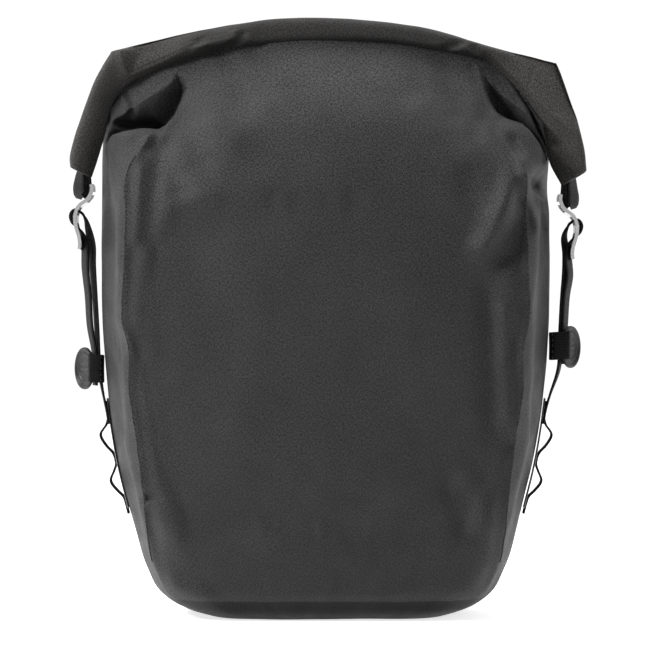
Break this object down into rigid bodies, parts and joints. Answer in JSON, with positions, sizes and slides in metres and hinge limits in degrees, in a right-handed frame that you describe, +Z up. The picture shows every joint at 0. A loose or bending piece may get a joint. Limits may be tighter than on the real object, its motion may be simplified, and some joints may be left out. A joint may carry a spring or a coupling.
{
  "type": "roll-top bicycle pannier bag",
  "caption": "Roll-top pannier bag with bowed front, folded gussets, side hook straps with keepers and daisy chains, and a rear rail with rack hooks, latches and a turning lower anchor.",
  "frame": {"origin": "centre of the flat base the bag stands on", "axes": "+Z up, -Y out of the front, +Y towards the rack side, +X to the right seen from the front"},
  "size_m": [0.363, 0.1975, 0.424],
  "materials": {
    "bag_fabric": "finely woven charcoal laminate, slightly satin",
    "base_fabric": "dark coated fabric",
    "webbing": "woven black webbing",
    "reflective": "silver reflective tape",
    "moulded_black": "moulded, light grain",
    "insert_grey": "moulded",
    "hook_steel": "stamped bright steel",
    "rail_metal": "black anodised",
    "screw_steel": "plated"
  },
  "bodies": {
    "bag": {"base_panel": "base_fabric", "front_panel": "bag_fabric", "back_panel": "bag_fabric", "left_gusset": "bag_fabric", "right_gusset": "bag_fabric", "roll_top": "bag_fabric", "roll_stiffener": "moulded_black", "back_plate": "moulded_black", "top_rail": "rail_metal", "top_rail_screws": "screw_steel", "top_rail_nuts": "screw_steel", "rail_end_caps": "moulded_black", "lower_rail": "rail_metal", "lower_rail_screws": "screw_steel", "lower_rail_nuts": "screw_steel", "handle_lugs": "moulded_black", "handle_pins": "screw_steel", "closure_loop_left": "webbing", "side_strap_left": "webbing", "strap_tail_left": "webbing", "keeper_sleeve_left": "webbing", "daisy_chain_left": "webbing", "reflective_strip_left": "reflective", "closure_loop_right": "webbing", "side_strap_right": "webbing", "strap_tail_right": "webbing", "keeper_sleeve_right": "webbing", "daisy_chain_right": "webbing", "reflective_strip_right": "reflective"},
    "closure_hook_left": {"closure_hook_left": "hook_steel", "strap_eye_left": "webbing"},
    "keeper_left": {"keeper_plate_left": "moulded_black"},
    "rack_hook_left": {"rack_hook_left": "moulded_black", "hook_insert_left": "insert_grey", "clamp_screw_left": "screw_steel", "latch_pin_left": "screw_steel", "latch_spring_left": "screw_steel"},
    "latch_left": {"latch_left": "moulded_black"},
    "pull_tab_left": {"pull_tab_left": "webbing"},
    "closure_hook_right": {"closure_hook_right": "hook_steel", "strap_eye_right": "webbing"},
    "keeper_right": {"keeper_plate_right": "moulded_black"},
    "rack_hook_right": {"rack_hook_right": "moulded_black", "hook_insert_right": "insert_grey", "clamp_screw_right": "screw_steel", "latch_pin_right": "screw_steel", "latch_spring_right": "screw_steel"},
    "latch_right": {"latch_right": "moulded_black"},
    "pull_tab_right": {"pull_tab_right": "webbing"},
    "handle": {"carry_handle": "webbing", "handle_grip": "webbing"},
    "anchor_slider": {"anchor_slider": "moulded_black", "anchor_screw": "screw_steel"},
    "anchor_hook": {"anchor_hook": "moulded_black"}
  },
  "joints": [
    {"name": "closure_hook_tilt_left", "type": "hinge", "parent": "bag", "child": "closure_hook_left", "pos_m": [-0.1647, 0, 0.2995], "axis": [0, 1, 0], "range_deg": [-3, 6]},
    {"name": "keeper_tilt_left", "type": "hinge", "parent": "bag", "child": "keeper_left", "pos_m": [-0.1671, -0.0006, 0.187], "axis": [-0.1045, 0.9945, 0], "range_deg": [0, 25]},
    {"name": "rack_hook_slide_left", "type": "slide", "parent": "bag", "child": "rack_hook_left", "axis": [1, 0, 0], "range_m": [-0.02, 0.02]},
    {"name": "latch_turn_left", "type": "hinge", "parent": "rack_hook_left", "child": "latch_left", "pos_m": [-0.096, 0.09, 0.312], "axis": [1, 0, 0], "range_deg": [-35, 0], "stiffness_Nm_per_rad": 0.03, "springref_deg": 17.19},
    {"name": "pull_tab_lift_left", "type": "slide", "parent": "rack_hook_left", "child": "pull_tab_left", "axis": [0, 0, 1], "range_m": [0, 0.00488]},
    {"name": "closure_hook_tilt_right", "type": "hinge", "parent": "bag", "child": "closure_hook_right", "pos_m": [0.1647, 0, 0.2925], "axis": [0, 1, 0], "range_deg": [-6, 3]},
    {"name": "keeper_tilt_right", "type": "hinge", "parent": "bag", "child": "keeper_right", "pos_m": [0.16928, -0.0006, 0.202], "axis": [0.1045, 0.9945, 0], "range_deg": [-25, 0]},
    {"name": "rack_hook_slide_right", "type": "slide", "parent": "bag", "child": "rack_hook_right", "axis": [1, 0, 0], "range_m": [-0.02, 0.02]},
    {"name": "latch_turn_right", "type": "hinge", "parent": "rack_hook_right", "child": "latch_right", "pos_m": [0.096, 0.09, 0.312], "axis": [1, 0, 0], "range_deg": [-35, 0], "stiffness_Nm_per_rad": 0.03, "springref_deg": 17.19},
    {"name": "pull_tab_lift_right", "type": "slide", "parent": "rack_hook_right", "child": "pull_tab_right", "axis": [0, 0, 1], "range_m": [0, 0.00488]},
    {"name": "handle_swing", "type": "hinge", "parent": "bag", "child": "handle", "pos_m": [0, 0.098, 0.307], "axis": [1, 0, 0], "range_deg": [0, 170]},
    {"name": "anchor_slide", "type": "slide", "parent": "bag", "child": "anchor_slider", "axis": [1, 0, 0], "range_m": [-0.045, 0.045]},
    {"name": "anchor_swivel", "type": "hinge", "parent": "anchor_slider", "child": "anchor_hook", "pos_m": [0, 0.0955, 0.112], "axis": [0, 1, 0], "range_deg": [-90, 90]}
  ],
  "couplings": [
    {"joint": "latch_turn_left", "follows": "pull_tab_lift_left", "rad_per_m": -125},
    {"joint": "latch_turn_right", "follows": "pull_tab_lift_right", "rad_per_m": -125}
  ]
}
